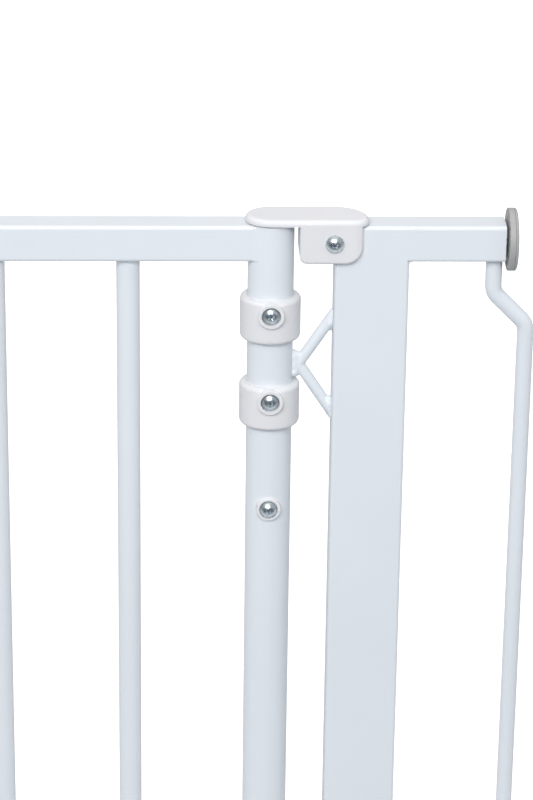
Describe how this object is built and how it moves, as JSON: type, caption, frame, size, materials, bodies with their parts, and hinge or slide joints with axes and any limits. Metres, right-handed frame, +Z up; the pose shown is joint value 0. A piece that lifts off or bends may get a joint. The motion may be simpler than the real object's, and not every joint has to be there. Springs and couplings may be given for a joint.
{
  "type": "pet gate",
  "caption": "Pressure-mounted metal pet gate: barred self-closing door on a tube hinge, plastic hinge cap and collars, thumb latch with drop bolt, grey screw pads at the walls.",
  "frame": {"origin": "middle of the gate, level with the lowest edge of the wall pads", "axes": "+X across the opening towards the hinge side, +Y through it to the back, +Z up; the screw heads face -Y"},
  "size_m": [0.7868, 0.0356, 0.784],
  "materials": {
    "powder_coat": "satin",
    "white_plastic": "satin",
    "zinc_screw": "bright",
    "bright_steel": "satin",
    "nylon": "matt",
    "grey_plastic": "matt",
    "grey_rubber": "matt"
  },
  "bodies": {
    "frame": {"bottom_rail": "powder_coat", "left_post": "powder_coat", "right_post": "powder_coat", "top_rail_left": "powder_coat", "top_rail_right": "powder_coat", "left_rod": "powder_coat", "right_rod": "powder_coat", "hinge_bracket": "powder_coat", "fixed_hinge_tube": "powder_coat", "hinge_cap": "white_plastic", "hinge_cap_screw": "zinc_screw", "lower_collar": "white_plastic", "lower_collar_screw": "zinc_screw", "fixed_pivot_core": "nylon", "bottom_pivot": "bright_steel", "keeper": "white_plastic", "keeper_screw": "zinc_screw", "bottom_keeper": "white_plastic", "bottom_keeper_rivets": "zinc_screw", "rail_end_nuts": "bright_steel"},
    "door": {"door_top_rail": "powder_coat", "door_bottom_rail": "powder_coat", "upper_hinge_tube": "powder_coat", "lower_hinge_tube": "powder_coat", "latch_stile": "powder_coat", "door_bar_1": "powder_coat", "door_bar_2": "powder_coat", "door_bar_3": "powder_coat", "door_bar_4": "powder_coat", "door_bar_5": "powder_coat", "door_bar_6": "powder_coat", "upper_collar": "white_plastic", "upper_collar_screw": "zinc_screw", "upper_pivot_plug": "nylon", "top_bush": "nylon", "middle_bush": "nylon", "spring_anchor": "nylon", "spring_anchor_screw": "zinc_screw", "spring_screw_washer": "white_plastic", "closing_spring": "bright_steel", "bottom_bush": "nylon", "latch_housing": "white_plastic", "latch_housing_screws": "zinc_screw", "stile_end_plug": "white_plastic"},
    "latch_slider": {"thumb_slider": "grey_plastic", "latch_bolt": "grey_plastic"},
    "drop_bolt": {"drop_rod": "bright_steel", "drop_rod_pin": "bright_steel"},
    "pad_top_left": {"wall_pad_top_left": "grey_rubber"},
    "adjuster_top_left": {"adjuster_wheel_top_left": "grey_plastic", "spindle_top_left": "bright_steel"},
    "pad_top_right": {"wall_pad_top_right": "grey_rubber"},
    "adjuster_top_right": {"adjuster_wheel_top_right": "grey_plastic", "spindle_top_right": "bright_steel"},
    "pad_bottom_left": {"wall_pad_bottom_left": "grey_rubber"},
    "adjuster_bottom_left": {"adjuster_wheel_bottom_left": "grey_plastic", "spindle_bottom_left": "bright_steel"},
    "pad_bottom_right": {"wall_pad_bottom_right": "grey_rubber"},
    "adjuster_bottom_right": {"adjuster_wheel_bottom_right": "grey_plastic", "spindle_bottom_right": "bright_steel"}
  },
  "joints": [
    {"name": "door_swing", "type": "hinge", "parent": "frame", "child": "door", "pos_m": [0.24993, 0, 0.4], "axis": [0, 0, 1], "range_deg": [-90, 90], "stiffness_Nm_per_rad": 0.3},
    {"name": "latch_slide", "type": "slide", "parent": "door", "child": "latch_slider", "axis": [-1, 0, 0], "range_m": [0, 0.012]},
    {"name": "drop_bolt_slide", "type": "slide", "parent": "door", "child": "drop_bolt", "axis": [0, 0, -1], "range_m": [0, 0.008]},
    {"name": "pad_top_left_slide", "type": "slide", "parent": "frame", "child": "pad_top_left", "axis": [-1, 0, 0], "range_m": [0, 0.036]},
    {"name": "adjuster_top_left_turn", "type": "hinge", "parent": "pad_top_left", "child": "adjuster_top_left", "pos_m": [-0.3775, 0, 0.75], "axis": [-1, 0, 0], "range_deg": [0, 4320]},
    {"name": "pad_top_right_slide", "type": "slide", "parent": "frame", "child": "pad_top_right", "axis": [1, 0, 0], "range_m": [0, 0.036]},
    {"name": "adjuster_top_right_turn", "type": "hinge", "parent": "pad_top_right", "child": "adjuster_top_right", "pos_m": [0.3775, 0, 0.75], "axis": [1, 0, 0], "range_deg": [0, 4320]},
    {"name": "pad_bottom_left_slide", "type": "slide", "parent": "frame", "child": "pad_bottom_left", "axis": [-1, 0, 0], "range_m": [0, 0.036]},
    {"name": "adjuster_bottom_left_turn", "type": "hinge", "parent": "pad_bottom_left", "child": "adjuster_bottom_left", "pos_m": [-0.3775, 0, 0.017], "axis": [-1, 0, 0], "range_deg": [0, 4320]},
    {"name": "pad_bottom_right_slide", "type": "slide", "parent": "frame", "child": "pad_bottom_right", "axis": [1, 0, 0], "range_m": [0, 0.036]},
    {"name": "adjuster_bottom_right_turn", "type": "hinge", "parent": "pad_bottom_right", "child": "adjuster_bottom_right", "pos_m": [0.3775, 0, 0.017], "axis": [1, 0, 0], "range_deg": [0, 4320]}
  ],
  "couplings": [
    {"joint": "drop_bolt_slide", "follows": "latch_slide", "ratio": 0.66666},
    {"joint": "adjuster_top_left_turn", "follows": "pad_top_left_slide", "rad_per_m": 2094.4},
    {"joint": "adjuster_top_right_turn", "follows": "pad_top_right_slide", "rad_per_m": 2094.4},
    {"joint": "adjuster_bottom_left_turn", "follows": "pad_bottom_left_slide", "rad_per_m": 2094.4},
    {"joint": "adjuster_bottom_right_turn", "follows": "pad_bottom_right_slide", "rad_per_m": 2094.4}
  ]
}
